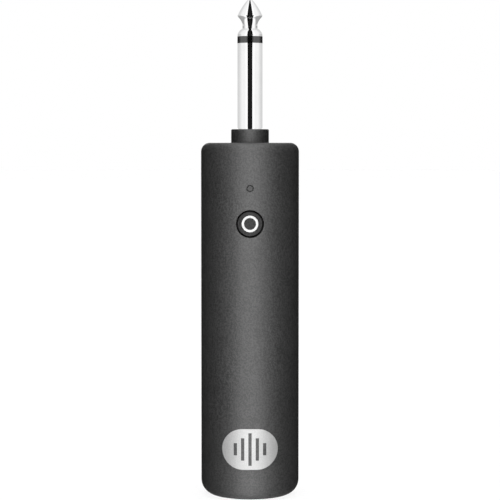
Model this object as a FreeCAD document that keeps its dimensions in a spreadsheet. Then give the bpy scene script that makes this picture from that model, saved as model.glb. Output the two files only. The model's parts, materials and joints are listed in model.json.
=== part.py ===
"""A wireless guitar transmitter: a round two-shell housing with a quarter inch jack plug on top.

Frame: millimetres, +Z up along the plug's axis, the origin in the middle of the flat foot, and the
button and its lamp on the front, which faces -Y.  The housing is two half shells, front and rear,
closed by two screws from the rear.  They trap the plug's bush at the top, the charging board at the
foot and the main board between them, and the lithium cell lies behind the main board.
"""

import FreeCAD, Part
import math
import os
import re

import Sketcher

# ---------------------------------------------------------------------------------- driving sizes
# Each row is an alias on the sheet, its number in millimetres and what it measures.
SIZES = [
    ("body_radius", 12.4, "outside radius of the housing"),
    ("body_length", 89.5, "housing from foot to shoulder"),
    ("wall", 1.6, "side wall of the shells"),
    ("end_wall", 1.8, "shoulder and foot walls of the shells"),
    ("shoulder_round", 2.25, "rounding at the shoulder"),
    ("foot_round", 3.9, "rounding at the foot"),
    ("seam_gap", 0.08, "open line between the two shells"),
    ("groove_width", 0.34, "shadow groove along that line"),
    ("groove_depth", 0.25, "depth of the shadow groove"),
    ("lip_depth", 1.0, "how far the rear shell's lip enters the front shell"),
    ("lip_thickness", 0.75, "thickness of that lip"),
    ("slip", 0.05, "clearance between pieces that slip together"),
    ("collar_radius", 4.775, "bush outside the housing"),
    ("collar_height", 3.42, "bush above the shoulder"),
    ("collar_round", 0.3, "rounding of the bush's top edge"),
    ("neck_radius", 4.0, "bush where it passes the shoulder wall"),
    ("flange_side", 13.0, "square flange of the bush"),
    ("flange_height", 2.3, "thickness of that flange"),
    ("tail_radius", 5.0, "bush below its flange"),
    ("tail_height", 3.8, "length of that stretch"),
    ("plug_radius", 3.175, "quarter inch plug"),
    ("relief_radius", 3.0, "narrow foot of the sleeve, in the bush and just above it"),
    ("relief_height", 0.3, "how far that foot stands above the bush"),
    ("sleeve_length", 21.65, "metal sleeve above the bush"),
    ("sleeve_bore", 2.2, "bore of the sleeve"),
    ("knurl_radius", 4.0, "flange of the sleeve held in the bush"),
    ("knurl_height", 3.0, "length of that flange"),
    ("solder_radius", 2.8, "tail of the sleeve that takes its lug"),
    ("solder_foot", 79.3, "height of the tail's end"),
    ("band_height", 1.7, "black insulating band between sleeve and tip"),
    ("spigot", 2.0, "depth of the band's spigot in the sleeve"),
    ("tip_length", 9.4, "tip from the band to the nose"),
    ("tip_radius", 3.12, "shoulder and crest of the tip"),
    ("nose_radius", 0.78, "tip where its round nose begins"),
    ("nose_rise", 0.42, "height of that nose"),
    ("tip_neck", 1.88, "groove that the socket's spring drops into"),
    ("rod_radius", 1.2, "rod that carries the tip"),
    ("rod_foot", 76.9, "height of the rod's end"),
    ("lug_thickness", 0.4, "brass of the two solder lugs"),
    ("lug_near", 2.8, "inner edge of a lug's leg, from the middle"),
    ("lug_far", 5.0, "outer edge of a lug's leg, from the middle"),
    ("board_half", 8.0, "half the width of the main board"),
    ("board_front", 6.8, "front face of the main board, from the axis"),
    ("board_back", 5.8, "rear face of the main board, from the axis"),
    ("board_foot", 9.9, "lower edge of the main board"),
    ("board_head", 82.5, "upper edge of the main board"),
    ("dock_radius", 10.3, "charging board"),
    ("dock_foot", 8.2, "underside of the charging board"),
    ("dock_head", 9.0, "upper side of the charging board"),
    ("ledge", 1.1, "depth and height of the ribs that hold the charging board"),
    ("post_radius", 2.2, "screw posts of both shells"),
    ("well_wall", 2.7, "outside radius of the screw wells"),
    ("well_radius", 2.0, "bore of the screw wells"),
    ("well_floor", 2.4, "floor of the screw wells, behind the axis"),
    ("upper_post", 74.1, "height of the upper screw"),
    ("lower_post", 12.2, "height of the lower screw"),
    ("screw_radius", 1.0, "thread of the housing screws"),
    ("screw_length", 12.0, "housing screws under the head"),
    ("head_radius", 1.8, "head of the housing screws"),
    ("head_height", 1.3, "thickness of that head"),
    ("button_drop", 20.1, "button below the shoulder"),
    ("button_radius", 3.03, "button"),
    ("button_hole", 3.45, "hole round the button"),
    ("button_sink", 0.03, "button's rim below the housing's skin at its sides"),
    ("rim_round", 0.09, "rounding of the button's rim and of the holes in the front skin"),
    ("dish_reach", 2.8, "edge of the button's dish"),
    ("dish_depth", 0.42, "depth of that dish"),
    ("ring_outer", 2.05, "white ring in the button"),
    ("ring_inner", 1.49, "inside of the white ring"),
    ("ring_depth", 0.55, "how deep the white ring is set"),
    ("ring_proud", 0.02, "how far the white ring stands above the dish"),
    ("guide_radius", 4.6, "collar behind the button's hole"),
    ("guide_end", 9.8, "end of that collar, from the axis"),
    ("skirt_radius", 3.37, "button where its hole guides it"),
    ("skirt_face", 10.7, "front of that stretch, from the axis"),
    ("wing_reach", 4.0, "button's side wings, from its middle"),
    ("wing_half", 2.2, "half the height of a wing"),
    ("press_face", 9.2, "button's rear face, from the axis"),
    ("switch_half", 2.25, "half the side of the push switch"),
    ("switch_top", 8.7, "front of the switch's case, from the axis"),
    ("plunger_radius", 1.2, "plunger of the switch"),
    ("plunger_foot", 8.0, "rear end of the plunger, from the axis"),
    ("chamber_radius", 1.75, "chamber in the switch"),
    ("chamber_floor", 7.2, "floor of that chamber, from the axis"),
    ("dome_radius", 1.5, "snap dome at its rim"),
    ("dome_rise", 0.7, "height of the snap dome"),
    ("dome_sheet", 0.08, "thickness of the snap dome"),
    ("lamp_drop", 11.3, "lamp below the shoulder"),
    ("lamp_hole", 0.89, "groove round the lamp"),
    ("lamp_recess", 0.9, "depth of that groove"),
    ("lamp_radius", 0.62, "light pipe in its hole"),
    ("pipe_radius", 0.9, "light pipe inside the housing"),
    ("pipe_flange", 1.4, "flange of the light pipe"),
    ("pipe_end", 7.6, "rear end of the light pipe, from the axis"),
    ("mark_middle", 13.2, "height of the badge's middle"),
    ("mark_width", 13.9, "badge, side to side"),
    ("mark_height", 10.2, "badge, top to bottom"),
    ("mark_sink", 0.12, "depth of the badge's seat"),
    ("mark_low", 0.02, "how far the badge lies below the skin"),
    ("port_width", 8.94, "charging socket, side to side"),
    ("port_height", 3.2, "charging socket, front to back"),
    ("port_sheet", 0.28, "sheet metal of the charging socket"),
    ("port_mouth", 0.4, "mouth of the socket above the foot"),
    ("port_gap", 0.15, "gap round the socket in the foot"),
    ("port_lead", 0.35, "bevel round that opening"),
    ("cell_radius", 6.9, "lithium cell"),
    ("cell_wrap", 0.1, "plastic sleeve round the cell"),
    ("cell_offset", 3.2, "cell behind the housing's axis"),
    ("cell_foot", 15.7, "lower end of the cell"),
    ("cell_head", 65.0, "shoulder of the cell"),
    ("cell_button", 0.6, "height of the cell's positive button"),
    ("tab_thickness", 0.2, "nickel strips on the cell"),
    ("lead_radius", 0.55, "insulated battery leads"),
]

doc = FreeCAD.newDocument("GuitarTransmitter")
sheet = doc.addObject("Spreadsheet::Sheet", "Sizes")
for row, (alias, number, meaning) in enumerate(SIZES, start=1):
    sheet.set(f"A{row}", meaning)
    sheet.set(f"B{row}", str(number))
    sheet.setAlias(f"B{row}", alias)
doc.recompute()
ALIASES = {alias for alias, number, meaning in SIZES}
probe = doc.addObject("App::VarSet", "Probe")
probe.addProperty("App::PropertyFloat", "Number")

# Places that follow from the driving sizes, as expressions on the sheet.
INSIDE = "(body_radius - wall)"
CEILING = "(body_length - end_wall)"
COLLAR_TOP = "(body_length + collar_height)"
BAND_FOOT = "(body_length + collar_height + sleeve_length)"
TIP_FOOT = "(body_length + collar_height + sleeve_length + band_height)"
FLANGE_TOP = f"({CEILING} - slip)"
FLANGE_FOOT = f"({FLANGE_TOP} - flange_height)"
TAIL_FOOT = f"({FLANGE_FOOT} - tail_height)"
BUTTON = "(body_length - button_drop)"
LAMP = "(body_length - lamp_drop)"
BUTTON_FACE = "(sqrt(body_radius^2 - button_radius^2) - button_sink)"
DISH_RADIUS = "((dish_reach^2 + dish_depth^2) / (2 * dish_depth))"

parts = []  # the finished sub-parts, in the order they are made


# ------------------------------------------------------------------------------------ small tools
def linked(text):
    """The same expression with every alias read from the sheet."""
    return re.sub(r"[a-z]\w*", lambda m: "Sizes." + m[0] if m[0] in ALIASES else m[0], str(text))


def value(text):
    """The expression's number now."""
    probe.setExpression("Number", linked(text))
    probe.recompute()
    return probe.Number


def bind(item, **sizes):
    for name, text in sizes.items():
        item.setExpression(name, linked(text))
    return item


def place(item, x=0, y=0, z=0, turn=None):
    """Puts an object at x, y, z, which are expressions, turned by (axis, degrees)."""
    if turn:
        item.Placement = FreeCAD.Placement(FreeCAD.Vector(), FreeCAD.Rotation(*turn))
    for axis, text in zip("xyz", (x, y, z)):
        item.setExpression(f"Placement.Base.{axis}", linked(text))
    return item


def named(item, label):
    """Marks an object as a finished sub-part with this name."""
    item.Label = label
    parts.append(item)
    return item


def add(kind, label):
    item = doc.addObject(kind, label)
    item.Label = label + "_shape"
    return item


def box(label, x, y, z):
    """A block between pairs of expressions."""
    item = add("Part::Box", label)
    sides = {"Length": x, "Width": y, "Height": z}
    bind(item, **{name: f"({high}) - ({low})" for name, (low, high) in sides.items()})
    return place(item, x[0], y[0], z[0])


TURNS = {
    "x": (FreeCAD.Vector(0, 1, 0), 90),
    "y": (FreeCAD.Vector(1, 0, 0), -90),
    "z": None,
}


def rod(label, radius, span, at=(0, 0), axis="z"):
    """A cylinder along an axis, over a span on it, at its two other coordinates in x, y, z order."""
    item = bind(add("Part::Cylinder", label), Radius=radius, Height=f"({span[1]}) - ({span[0]})")
    base = {"x": (span[0], *at), "y": (at[0], span[0], at[1]), "z": (*at, span[0])}[axis]
    return place(item, *base, turn=TURNS[axis])


def tube(label, outer, inner, span, at=(0, 0), axis="z"):
    return cut(label, rod(label, outer, span, at, axis), rod(label, inner, span, at, axis))


def fuse(label, *items):
    item = add("Part::MultiFuse", label)
    item.Shapes = list(items)
    return item


def cut(label, base, *tools):
    item = add("Part::Cut", label)
    item.Base = base
    item.Tool = tools[0] if len(tools) == 1 else fuse(label, *tools)
    return item


def common(label, *items):
    item = add("Part::MultiCommon", label)
    item.Shapes = list(items)
    return item


def group(label, items):
    """Separate solids that share one node."""
    item = add("Part::Compound", label)
    item.Links = list(items)
    return item


def origin_plane(body, role):
    return next(f for f in body.Origin.OriginFeatures if f.Role == role)


def arc_between(start, end, radius, left):
    """An arc of a circle from start to end, counterclockwise as sketches want it, and whether it was
    turned round to be so.  left says that the centre lies to the left of the way from start to end."""
    way, half = end - start, (end - start).Length / 2
    side = FreeCAD.Vector(-way.y, way.x, 0).normalize() * math.sqrt(max(radius**2 - half**2, 0))
    centre = (start + end) * 0.5 + (side if left else side * -1)
    first, last = (start, end) if left else (end, start)
    angles = [math.atan2(p.y - centre.y, p.x - centre.x) for p in (first, last)]
    circle = Part.Circle(centre, FreeCAD.Vector(0, 0, 1), radius)
    return Part.ArcOfCircle(circle, *angles), not left


def outline_sketch(body, plane, outline):
    """A closed, fully constrained sketch.  Each corner is (across, up) or (across, up, radius, side),
    where the last two make the way to the next corner an arc with its centre on that side."""
    sketch = body.newObject("Sketcher::SketchObject", "Outline")
    sketch.AttachmentSupport = [(origin_plane(body, plane), "")]
    sketch.MapMode = "FlatFace"
    spots = [FreeCAD.Vector(value(c[0]), value(c[1]), 0) for c in outline]
    ends = []  # of each edge: the sketch's vertex numbers at its first and second corner
    for i, corner in enumerate(outline):
        start, end = spots[i], spots[(i + 1) % len(spots)]
        if len(corner) == 2:
            sketch.addGeometry(Part.LineSegment(start, end))
            ends.append((1, 2))
            continue
        arc, turned = arc_between(start, end, value(corner[2]), corner[3] == "left")
        edge = sketch.addGeometry(arc)
        ends.append((2, 1) if turned else (1, 2))
        held = sketch.addConstraint(Sketcher.Constraint("Radius", edge, value(corner[2])))
        sketch.setExpression(f"Constraints[{held}]", linked(corner[2]))
    for i, corner in enumerate(outline):
        after = (i + 1) % len(outline)
        sketch.addConstraint(Sketcher.Constraint("Coincident", i, ends[i][1], after, ends[after][0]))
        for kind, text, number in zip(("DistanceX", "DistanceY"), corner, spots[i]):
            held = sketch.addConstraint(Sketcher.Constraint(kind, -1, 1, i, ends[i][0], number))
            sketch.setExpression(f"Constraints[{held}]", linked(text))
    return sketch


def lathe(label, outline, degrees=360, reverse=False):
    """A body turned about its own Z axis from an outline of (radius, height) corners."""
    body = doc.addObject("PartDesign::Body", label)
    body.Label = label + "_shape"
    turn = body.newObject("PartDesign::Revolution", "Turned")
    turn.Profile = outline_sketch(body, "XZ_Plane", outline)
    turn.ReferenceAxis = (turn.Profile[0], ["V_Axis"])
    turn.Angle = degrees
    turn.Reversed = reverse
    return body


def pad(label, plane, outline, height, reverse=False):
    """A body padded from an outline on one of its own origin planes."""
    body = doc.addObject("PartDesign::Body", label)
    body.Label = label + "_shape"
    block = body.newObject("PartDesign::Pad", "Block")
    block.Profile = outline_sketch(body, plane, outline)
    block.Reversed = reverse
    bind(block, Length=height)
    return body


def dress(body, kind, size, test):
    """Rounds or bevels the edges of a body for which test(edge) holds."""
    doc.recompute()
    base = body.Tip
    edges = [f"Edge{i + 1}" for i, edge in enumerate(base.Shape.Edges) if test(edge)]
    if not edges:
        raise ValueError(f"{body.Label} has no such edges to dress")
    feature = body.newObject(f"PartDesign::{kind}", kind)
    feature.Base = (base, edges)
    bind(feature, **{"Radius" if kind == "Fillet" else "Size": size})
    return body


def rounded(label, base, size, test):
    """The object with the edges for which test(edge) holds rounded to this size."""
    doc.recompute()
    edges = [i + 1 for i, edge in enumerate(base.Shape.Edges) if test(edge)]
    if not edges:
        raise ValueError(f"{label} has no such edges to round")
    item = add("Part::Fillet", label)
    item.Base = base
    item.Edges = [(edge, value(size), value(size)) for edge in edges]
    return item


def slot_outline(width, height):
    """A long round-ended outline, centred on the sketch's origin."""
    straight, end = f"(({width}) - ({height})) / 2", f"({height}) / 2"
    return [
        (f"-({straight})", f"-({end})"),
        (straight, f"-({end})", end, "left"),
        (f"{straight} + {end}", 0, end, "left"),
        (straight, end),
        (f"-({straight})", end, end, "left"),
        (f"-({straight} + {end})", 0, end, "left"),
    ]


# ---------------------------------------------------------------------------------------- housing
def half_shell(label, reverse):
    """Half of the hollow housing: its outline turned through 180 degrees."""
    hole = "neck_radius + slip"
    outline = [
        (0, 0),
        ("body_radius - foot_round", 0, "foot_round", "left"),
        ("body_radius", "foot_round"),
        ("body_radius", "body_length - shoulder_round", "shoulder_round", "left"),
        ("body_radius - shoulder_round", "body_length"),
        (hole, "body_length"),
        (hole, CEILING),
        (f"{INSIDE} - 0.8", CEILING),
        (INSIDE, f"{CEILING} - 0.8"),
        (INSIDE, "foot_round + 0.2"),
        (f"{INSIDE} - foot_round + end_wall", "end_wall"),
        (0, "end_wall"),
    ]
    return lathe(label, outline, 180, reverse)


def seam_groove(label):
    """The narrow groove that runs round the outside of the housing along its parting line."""
    skin = "(body_radius - groove_depth)"
    core = lathe(label, [
        (0, "groove_depth"),
        ("body_radius - foot_round", "groove_depth", "foot_round - groove_depth", "left"),
        (skin, "foot_round"),
        (skin, "body_length - shoulder_round", "shoulder_round - groove_depth", "left"),
        ("body_radius - shoulder_round", "body_length - groove_depth"),
        (0, "body_length - groove_depth"),
    ])
    reach = "2 * body_radius"
    slab = box(
        label, (f"-({reach})", reach), ("-groove_width / 2", "groove_width / 2"), (-1, "body_length + 1")
    )
    return cut(label, slab, core)


def ring_rib(label, inner, low, high):
    """A flat ring inside the housing, its edge sunk in the wall."""
    return tube(label, f"{INSIDE} + wall / 3", inner, (low, high))


def half_of(label, item, rear):
    """The part of an object in front of or behind the seam."""
    reach = "2 * body_radius"
    span = ("seam_gap / 2", reach) if rear else (f"-({reach})", "-seam_gap / 2")
    return common(label, item, box(label, (f"-({reach})", reach), span, (0, "body_length")))


def inner_ribs(label, rear):
    """The ribs that both shells have: ledges for the charging board and the seat of the bush."""
    ribs = [
        ring_rib(label, f"{INSIDE} - ledge", "dock_foot - ledge - slip", "dock_foot - slip"),
        ring_rib(label, f"{INSIDE} - ledge", "dock_head + slip", "dock_head + ledge * 0.7"),
        ring_rib(label, "tail_radius + 0.3", f"{FLANGE_FOOT} - slip - 1.2", f"{FLANGE_FOOT} - slip"),
    ]
    for side in ("", "-"):
        near, far = f"{side}(flange_side / 2 + slip)", f"{side}(flange_side / 2 + 1.3)"
        edges = (near, far) if side == "" else (far, near)
        wide = ("-flange_side / 2", "flange_side / 2")
        ribs.append(box(label, edges, wide, (f"{FLANGE_FOOT} - 0.6", f"{CEILING} + end_wall / 2")))
    return half_of(label, fuse(label, *ribs), rear)


def port_opening(label):
    """The opening in the foot for the charging socket, with a bevelled edge."""
    width, height = "port_width + 2 * port_gap", "port_height + 2 * port_gap"
    slot = pad(label, "XY_Plane", slot_outline(width, height), "dock_foot")
    bevel = pad(
        label, "XY_Plane",
        slot_outline(f"{width} + 2 * port_lead", f"{height} + 2 * port_lead"), "port_lead",
    )
    dress(bevel, "Chamfer", "port_lead * 0.99", lambda edge: edge.BoundBox.ZMin > 0.1)
    return fuse(label, slot, bevel)


def mark_prism(label):
    """A round-ended prism through the front skin, with five sound bars left out of it."""
    plate = pad(label, "XZ_Plane", slot_outline("mark_width", "mark_height"), "body_radius + 2")
    place(plate, z="mark_middle")
    bars = []
    for step, share in ((-2, 0.3), (-1, 0.55), (0, 0.8), (1, 0.55), (2, 0.3)):
        middle, half = f"({step}) * mark_width / 7.6", "mark_width / 34"
        bar = box(
            label,
            (f"{middle} - {half}", f"{middle} + {half}"),
            ("-body_radius - 3", 0),
            (f"mark_middle - mark_height * {share} / 2", f"mark_middle + mark_height * {share} / 2"),
        )
        bars.append(bar)
    return cut(label, plate, *bars)


def snap_hooks(label):
    """Four hooks on the rear shell that catch behind the front shell's wall."""
    hooks = []
    for side in (1, -1):
        for height in (28, 54):
            reach = sorted((side * 9.4, side * 10.25))
            root = sorted((side * 9.4, side * 11.3))
            nib = sorted((side * 10.2, side * 10.55))
            hooks.append(box(label, reach, (-3, 1.5), (height, height + 4)))
            hooks.append(box(label, root, ("seam_gap / 2", 1.5), (height, height + 4)))
            hooks.append(box(label, nib, (-2.9, -2.3), (height, height + 4)))
    return fuse(label, *hooks)


def hook_pockets(label):
    """Where the hooks' nibs lie in the front shell."""
    pockets = []
    for side in (1, -1):
        for height in (28, 54):
            wide = sorted((side * 10.15, side * 10.75))
            pockets.append(box(label, wide, (-3.1, -2.1), (height - 0.2, height + 4.2)))
    return fuse(label, *pockets)


def front_shell():
    label = "front_shell"
    posts = [
        rod(label, "post_radius", ("-body_radius + wall / 2", "-board_front"), (0, height), "y")
        for height in ("upper_post", "lower_post")
    ]
    guide = rod(label, "guide_radius", ("-body_radius + 0.75 * wall", "-guide_end"), (0, BUTTON), "y")
    rails = [
        box(label, sorted((side * 6.7, side * 8.1)), (-8.9, "-board_front"), (24, 60))
        for side in (1, -1)
    ]
    solid = fuse(label, half_shell(label, True), guide, *posts, *rails, inner_ribs(label, False))
    openings = [
        rod(label, "button_hole", ("-2 * body_radius", "-guide_end + 1"), (0, BUTTON), "y"),
        rod(label, "lamp_radius + slip / 2", ("-2 * body_radius", "-pipe_end"), (0, LAMP), "y"),
        rod(label, "lamp_hole", ("-2 * body_radius", "-body_radius + lamp_recess"), (0, LAMP), "y"),
        box(label, ("-2 * body_radius", "2 * body_radius"), ("-seam_gap / 2", 1), (-1, "body_length + 1")),
    ]
    openings += [
        rod(label, "screw_radius", ("well_floor - screw_length - 0.3", 0), (0, height), "y")
        for height in ("upper_post", "lower_post")
    ]
    openings.append(port_opening(label))
    openings.append(hook_pockets(label))
    rebate = common(
        label,
        tube(label, f"{INSIDE} + lip_thickness + slip", f"{INSIDE} - 1", ("foot_round", CEILING)),
        box(label, ("-2 * body_radius", "2 * body_radius"), ("-lip_depth - slip", 1), (0, "body_length")),
    )
    seat = common(
        label,
        mark_prism(label),
        tube(label, "body_radius + 1", "body_radius - mark_sink", (0, "body_length")),
    )
    shell = cut(label, solid, rebate, seat, seam_groove(label), *openings)
    return named(rounded(label, shell, "rim_round", is_skin_hole), label)


def is_skin_hole(edge):
    """Whether an edge is where the button's hole or the lamp's groove meets the front skin."""
    bounds = edge.BoundBox
    holes = ((BUTTON, "button_hole"), (LAMP, "lamp_hole"))
    round_hole = any(
        abs(bounds.ZMin - value(f"{height} - {radius}")) < 0.05
        and abs(bounds.ZMax - value(f"{height} + {radius}")) < 0.05
        for height, radius in holes
    )
    return round_hole and bounds.YMin < -value("body_radius - lamp_recess / 2") and edge.Length > 5


def rear_shell():
    label = "rear_shell"
    posts, wells = [], []
    for height in ("upper_post", "lower_post"):
        posts.append(rod(label, "post_radius", ("-board_back", "well_floor"), (0, height), "y"))
        skin = "body_radius - wall / 2"
        posts.append(rod(label, "well_wall", ("well_floor - 1.2", skin), (0, height), "y"))
        wells.append(rod(label, "well_radius", ("well_floor", "2 * body_radius"), (0, height), "y"))
        wells.append(rod(label, "screw_radius + 0.15", ("-body_radius", "body_radius"), (0, height), "y"))
    bed = fuse(label, *[
        rod(label, f"{INSIDE} + wall / 3", (height, height + 1.2)) for height in (22, 38, 60)
    ])
    bed = common(label, bed, box(label, (-11, 11), (1.5, "body_radius"), (0, "body_length")))
    cell = rod(label, "cell_radius + cell_wrap + slip", (0, "body_length"), (0, "cell_offset"))
    lip = common(
        label,
        tube(label, f"{INSIDE} + lip_thickness", INSIDE, ("foot_round + 0.4", f"{CEILING} - 1")),
        box(label, ("-2 * body_radius", "2 * body_radius"), ("-lip_depth", 1), (0, "body_length")),
    )
    half = half_of(label, half_shell(label, False), True)
    solid = fuse(
        label, half, lip, *posts, cut(label, bed, cell),
        inner_ribs(label, True), snap_hooks(label),
    )
    return named(cut(label, solid, port_opening(label), seam_groove(label), *wells), label)


def housing_screws():
    """Two self-tapping screws with a cross recess, their heads on the floors of the wells."""
    label = "housing_screws"
    screws = []
    for height in ("upper_post", "lower_post"):
        shank = rod(label, "screw_radius", ("well_floor - screw_length", "well_floor"), (0, height), "y")
        head = rod(label, "head_radius", ("well_floor", "well_floor + head_height"), (0, height), "y")
        deep = ("well_floor + head_height * 0.4", "well_floor + 2 * head_height")
        across = [
            box(label, (-1.1, 1.1), deep, (f"{height} - 0.22", f"{height} + 0.22")),
            box(label, (-0.22, 0.22), deep, (f"{height} - 1.1", f"{height} + 1.1")),
        ]
        screws.append(cut(label, fuse(label, shank, head), *across))
    return named(group(label, screws), label)


def badge():
    """A metal badge set in the front skin, round-ended and with five sound bars cut through it."""
    label = "badge"
    skin = tube(label, "body_radius - mark_low", "body_radius - mark_sink", (0, "body_length"))
    return named(common(label, mark_prism(label), skin), label)


# ------------------------------------------------------------------------------------------- plug
def sleeve_outline():
    """The sleeve's outside below and above the bush's top, from its solder tail up."""
    knurl_foot = f"({FLANGE_FOOT} - 1.5)"
    return [
        ("solder_radius", "solder_foot"),
        ("solder_radius", knurl_foot),
        ("knurl_radius", knurl_foot),
        ("knurl_radius", f"{knurl_foot} + knurl_height"),
        ("relief_radius", f"{knurl_foot} + knurl_height"),
        ("relief_radius", f"{COLLAR_TOP} + relief_height"),
        ("plug_radius", f"{COLLAR_TOP} + relief_height"),
        ("plug_radius", BAND_FOOT),
    ]


def plug_bush():
    """The moulded bush round the sleeve: collar, neck, square flange and tail."""
    label = "plug_bush"
    outline = [
        (0, TAIL_FOOT),
        ("tail_radius", TAIL_FOOT),
        ("tail_radius", FLANGE_TOP),
        ("neck_radius", FLANGE_TOP),
        ("neck_radius", "body_length"),
        ("collar_radius", "body_length"),
        ("collar_radius", f"{COLLAR_TOP} - collar_round", "collar_round", "left"),
        ("collar_radius - collar_round", COLLAR_TOP),
        (0, COLLAR_TOP),
    ]
    half = "flange_side / 2"
    flange = box(label, (f"-{half}", half), (f"-{half}", half), (FLANGE_FOOT, FLANGE_TOP))
    core = lathe(label, [(0, "solder_foot"), *sleeve_outline(), (0, BAND_FOOT)])
    return named(cut(label, fuse(label, lathe(label, outline), flange), core), label)


def plug_sleeve():
    label = "plug_sleeve"
    outline = [("sleeve_bore", "solder_foot"), *sleeve_outline(), ("sleeve_bore", BAND_FOOT)]
    body = lathe(label, outline)
    return named(body, label)


def tip_insulator():
    """The black band at the tip, with a spigot in the sleeve."""
    outline = [
        ("rod_radius", f"{BAND_FOOT} - spigot"),
        ("sleeve_bore", f"{BAND_FOOT} - spigot"),
        ("sleeve_bore", BAND_FOOT),
        ("plug_radius", BAND_FOOT),
        ("plug_radius", TIP_FOOT),
        ("rod_radius", TIP_FOOT),
    ]
    return named(lathe("tip_insulator", outline), "tip_insulator")


def inner_insulator():
    """The tube that keeps the rod clear of the sleeve."""
    span = ("solder_foot", f"{BAND_FOOT} - spigot")
    return named(tube("inner_insulator", "sleeve_bore", "rod_radius", span), "inner_insulator")


def plug_tip():
    """The turned tip with its groove, crest and ogive nose, and the rod riveted at its lower end."""
    nose = f"({TIP_FOOT} + tip_length)"
    outline = [
        (0, "rod_foot"),
        ("rod_radius", "rod_foot"),
        ("rod_radius", TIP_FOOT),
        ("tip_radius", TIP_FOOT),
        ("tip_radius", f"{TIP_FOOT} + 0.5", "2.1", "left"),
        ("tip_neck + 0.2", f"{TIP_FOOT} + 1.9"),
        ("tip_neck", f"{TIP_FOOT} + 2.0"),
        ("tip_neck", f"{TIP_FOOT} + 2.7", "3.0", "right"),
        ("tip_radius - 0.28", f"{TIP_FOOT} + 4.72"),
        ("tip_radius - 0.06", f"{TIP_FOOT} + 5.0", "0.4", "left"),
        ("tip_radius - 0.06", f"{TIP_FOOT} + 5.4", "14.0", "left"),
        ("nose_radius", f"{nose} - nose_rise", "(nose_radius^2 + nose_rise^2) / (2 * nose_rise)", "left"),
        (0, nose),
    ]
    return named(lathe("plug_tip", outline), "plug_tip")


def rear_insulator():
    """The washer between the sleeve's end and the tip's lug."""
    label = "rear_insulator"
    span = ("solder_foot - 0.8", "solder_foot")
    return named(tube(label, "solder_radius", "rod_radius", span), label)


def lug_leg(label, near, far, rise, reach):
    """The strip of a solder lug: an arm towards the board and a leg down its rear face."""
    return [
        box(label, (near, far), ("-board_back", reach), (f"{rise} - lug_thickness", rise)),
        box(
            label, (near, far), ("-board_back", "-board_back + lug_thickness"),
            (f"{rise} - 4.2", rise),
        ),
    ]


def sleeve_lug():
    """The ring lug crimped on the sleeve's tail, soldered to the board."""
    label = "sleeve_lug"
    rise = f"({TAIL_FOOT} - slip)"
    ring = rod(label, 4.3, (f"{rise} - lug_thickness", rise))
    bore = rod(label, "solder_radius", ("solder_foot", TAIL_FOOT))
    legs = lug_leg(label, "lug_near", "lug_far", rise, 1)
    return named(cut(label, fuse(label, ring, *legs), bore), label)


def tip_lug():
    """The lug under the rod, soldered to the board."""
    label = "tip_lug"
    rise = "(solder_foot - 0.8)"
    eye = rod(label, 2.4, (f"{rise} - lug_thickness", rise))
    arm = box(label, ("-lug_far", 0), (-1.1, 1.1), (f"{rise} - lug_thickness", rise))
    legs = lug_leg(label, "-lug_far", "-lug_near", rise, 1.1)
    bore = rod(label, "rod_radius", ("rod_foot", "solder_foot"))
    return named(cut(label, fuse(label, eye, arm, *legs), bore), label)


def rod_nut():
    """The hexagon nut on the rod's lower end."""
    label = "rod_nut"
    top = "(solder_foot - 0.8 - lug_thickness)"
    flats, half = 2.0, 2.0 / math.sqrt(3)
    corners = [(2 * half, 0), (half, flats), (-half, flats), (-2 * half, 0), (-half, -flats), (half, -flats)]
    nut = place(pad(label, "XY_Plane", corners, f"{top} - rod_foot - 0.1"), z="rod_foot + 0.1")
    return named(cut(label, nut, rod(label, "rod_radius", ("rod_foot", top))), label)


# ----------------------------------------------------------------------------------------- button
def dish_level(radius, lift=0):
    """How far the button's dish lies in front of the housing's axis, at a radius from its middle."""
    return f"({BUTTON_FACE} - dish_depth + {DISH_RADIUS} - sqrt({DISH_RADIUS}^2 - ({radius})^2) + {lift})"


RING_FLOOR = f"({BUTTON_FACE} - dish_depth - ring_depth)"
OUTWARD = (FreeCAD.Vector(1, 0, 0), 90)  # turns a lathe's axis to -Y


def button_cap():
    """The button: a rounded rim, a dish with a groove for the ring, a skirt that fills the hole and
    two wings that keep it in."""
    label = "button_cap"
    turned = lathe(label, [
        (0, "press_face"),
        ("skirt_radius", "press_face"),
        ("skirt_radius", "skirt_face"),
        ("button_radius", "skirt_face"),
        ("button_radius", f"{BUTTON_FACE} - rim_round", "rim_round", "left"),
        ("button_radius - rim_round", BUTTON_FACE),
        ("dish_reach", BUTTON_FACE, DISH_RADIUS, "right"),
        ("ring_outer", dish_level("ring_outer")),
        ("ring_outer", RING_FLOOR),
        ("ring_inner", RING_FLOOR),
        ("ring_inner", dish_level("ring_inner"), DISH_RADIUS, "right"),
        (0, f"{BUTTON_FACE} - dish_depth"),
    ])
    wings = box(
        label, ("-wing_reach", "wing_reach"), ("slip - guide_end", "-press_face"),
        (f"{BUTTON} - wing_half", f"{BUTTON} + wing_half"),
    )
    return named(fuse(label, place(turned, z=BUTTON, turn=OUTWARD), wings), label)


def button_ring():
    """The white ring, moulded into the button's dish."""
    label = "button_ring"
    turned = lathe(label, [
        ("ring_inner", RING_FLOOR),
        ("ring_outer", RING_FLOOR),
        ("ring_outer", dish_level("ring_outer", "ring_proud"), DISH_RADIUS, "right"),
        ("ring_inner", dish_level("ring_inner", "ring_proud")),
    ])
    return named(place(turned, z=BUTTON, turn=OUTWARD), label)


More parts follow.
